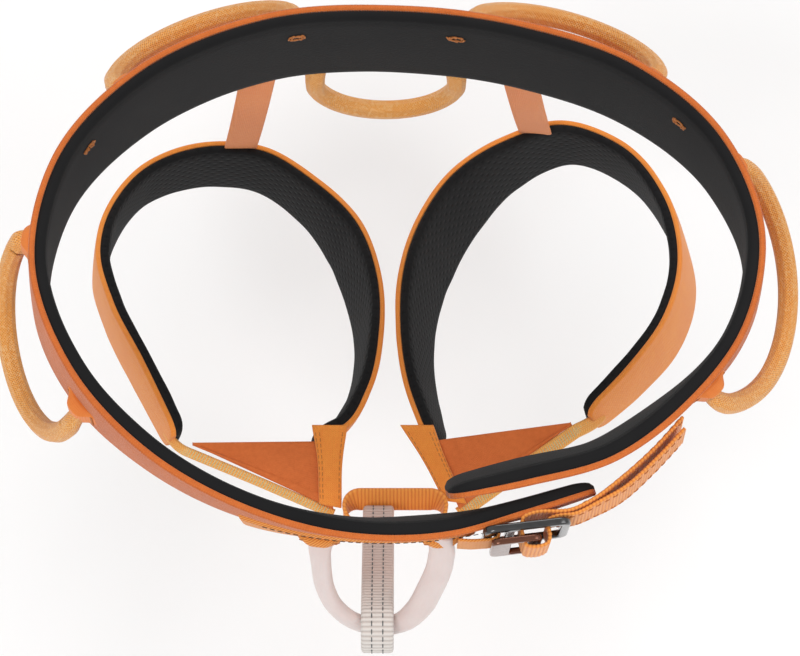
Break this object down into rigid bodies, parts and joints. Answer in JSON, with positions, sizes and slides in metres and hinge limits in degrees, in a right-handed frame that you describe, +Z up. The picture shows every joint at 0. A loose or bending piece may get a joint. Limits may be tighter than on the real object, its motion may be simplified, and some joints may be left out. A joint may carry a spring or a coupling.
{
  "type": "climbing harness",
  "caption": "Padded sit harness with waist belt, thigh loops, tie-in loop, belay loop, double-back buckle and preformed gear loops, posed as worn.",
  "frame": {"origin": "centre of the waist ring at the belt's mid-height", "axes": "+Z up along the wearer's spine, -Y to the wearer's front, +X to the wearer's left"},
  "size_m": [0.326, 0.2717, 0.2202],
  "materials": {
    "shell_fabric": "woven, satin",
    "lining_fabric": "embossed matt mesh",
    "foam": "closed-cell foam, matt",
    "load_webbing": "herringbone weave",
    "ribbed_webbing": "ribbed weave",
    "trim_webbing": "plain woven",
    "stretch_fabric": "smooth elastic knit",
    "stitching": "thread",
    "tie_in_sleeve": "slick translucent sleeve",
    "white_webbing": "ribbed weave",
    "buckle_black": "black anodised, glossy edges",
    "buckle_bronze": "dark bronze anodised",
    "braided_sheath": "braided cord with pale flecks",
    "tube_core": "flexible plastic"
  },
  "bodies": {
    "waist": {"waist_shell": "shell_fabric", "waist_foam": "foam", "waist_lining": "lining_fabric", "waist_load_webbing": "load_webbing", "waist_bartacks": "stitching", "gear_loop_anchors": "trim_webbing", "tie_in_tabs": "load_webbing", "buckle_anchor_webbing": "load_webbing", "buckle_frame": "buckle_black", "adjustment_strap": "ribbed_webbing", "leg_bridge_webbing": "ribbed_webbing", "right_riser": "trim_webbing", "left_riser": "trim_webbing"},
    "buckle_slider": {"buckle_slider": "buckle_bronze"},
    "tie_in_loop": {"upper_tie_in_sleeve": "tie_in_sleeve", "upper_tie_in_webbing": "white_webbing"},
    "belay_loop": {"belay_loop": "white_webbing"},
    "right_thigh_loop": {"right_thigh_shell": "shell_fabric", "right_thigh_foam": "foam", "right_thigh_lining": "lining_fabric", "right_stretch_panel": "stretch_fabric", "right_front_tab": "trim_webbing", "right_hem_webbing": "trim_webbing"},
    "left_thigh_loop": {"left_thigh_shell": "shell_fabric", "left_thigh_foam": "foam", "left_thigh_lining": "lining_fabric", "left_stretch_panel": "stretch_fabric", "left_front_tab": "trim_webbing", "left_hem_webbing": "trim_webbing"},
    "right_side_gear_loop": {"right_side_gear_loop_sheath": "braided_sheath", "right_side_gear_loop_core": "tube_core"},
    "left_side_gear_loop": {"left_side_gear_loop_sheath": "braided_sheath", "left_side_gear_loop_core": "tube_core"},
    "right_rear_gear_loop": {"right_rear_gear_loop_sheath": "braided_sheath", "right_rear_gear_loop_core": "tube_core"},
    "left_rear_gear_loop": {"left_rear_gear_loop_sheath": "braided_sheath", "left_rear_gear_loop_core": "tube_core"},
    "haul_loop": {"haul_loop_sheath": "braided_sheath", "haul_loop_core": "tube_core"}
  },
  "joints": [
    {"name": "tie_in_loop_swing", "type": "hinge", "parent": "waist", "child": "tie_in_loop", "pos_m": [-0.0043, -0.106, -0.0145], "axis": [1, 0, 0], "range_deg": [-40, 8], "deforming": ["leg_bridge_webbing"]},
    {"name": "belay_loop_swing", "type": "hinge", "parent": "tie_in_loop", "child": "belay_loop", "pos_m": [-0.006, -0.1248, -0.0598], "axis": [1, 0, 0], "range_deg": [-20, 25], "deforming": ["leg_bridge_webbing"]},
    {"name": "buckle_slider_play", "type": "slide", "parent": "waist", "child": "buckle_slider", "axis": [0.9925, 0.1219, 0], "range_m": [0, 0.0015]},
    {"name": "right_thigh_loop_swing", "type": "hinge", "parent": "waist", "child": "right_thigh_loop", "pos_m": [0.001, -0.068, -0.095], "axis": [1, 0, 0], "range_deg": [-12, 18], "stiffness_Nm_per_rad": 8, "springref_deg": 0.57, "deforming": ["right_riser"]},
    {"name": "left_thigh_loop_swing", "type": "hinge", "parent": "waist", "child": "left_thigh_loop", "pos_m": [0.001, -0.068, -0.095], "axis": [1, 0, 0], "range_deg": [-12, 18], "stiffness_Nm_per_rad": 8, "springref_deg": 0.57, "deforming": ["left_riser"]},
    {"name": "right_side_gear_loop_flex", "type": "hinge", "parent": "waist", "child": "right_side_gear_loop", "pos_m": [-0.1364, -0.01895, -0.00781], "axis": [-0.3193, 0.9477, 0], "range_deg": [-12, 50], "stiffness_Nm_per_rad": 0.2, "springref_deg": 0.17},
    {"name": "left_side_gear_loop_flex", "type": "hinge", "parent": "waist", "child": "left_side_gear_loop", "pos_m": [0.13272, -0.0005, -0.00109], "axis": [-0.1663, -0.9861, 0], "range_deg": [-12, 50], "stiffness_Nm_per_rad": 0.2, "springref_deg": 0.17},
    {"name": "right_rear_gear_loop_flex", "type": "hinge", "parent": "waist", "child": "right_rear_gear_loop", "pos_m": [-0.07527, 0.09625, 0.00788], "axis": [0.9152, 0.403, 0], "range_deg": [-20, 30], "stiffness_Nm_per_rad": 0.2, "springref_deg": 0.17},
    {"name": "left_rear_gear_loop_flex", "type": "hinge", "parent": "waist", "child": "left_rear_gear_loop", "pos_m": [0.06996, 0.09697, 0.00795], "axis": [0.9406, -0.3396, 0], "range_deg": [-20, 30], "stiffness_Nm_per_rad": 0.2, "springref_deg": 0.17},
    {"name": "haul_loop_flex", "type": "hinge", "parent": "waist", "child": "haul_loop", "pos_m": [-0.003, 0.106, -0.04], "axis": [1, 0, 0], "range_deg": [-20, 35], "stiffness_Nm_per_rad": 0.2, "springref_deg": 0.17}
  ]
}
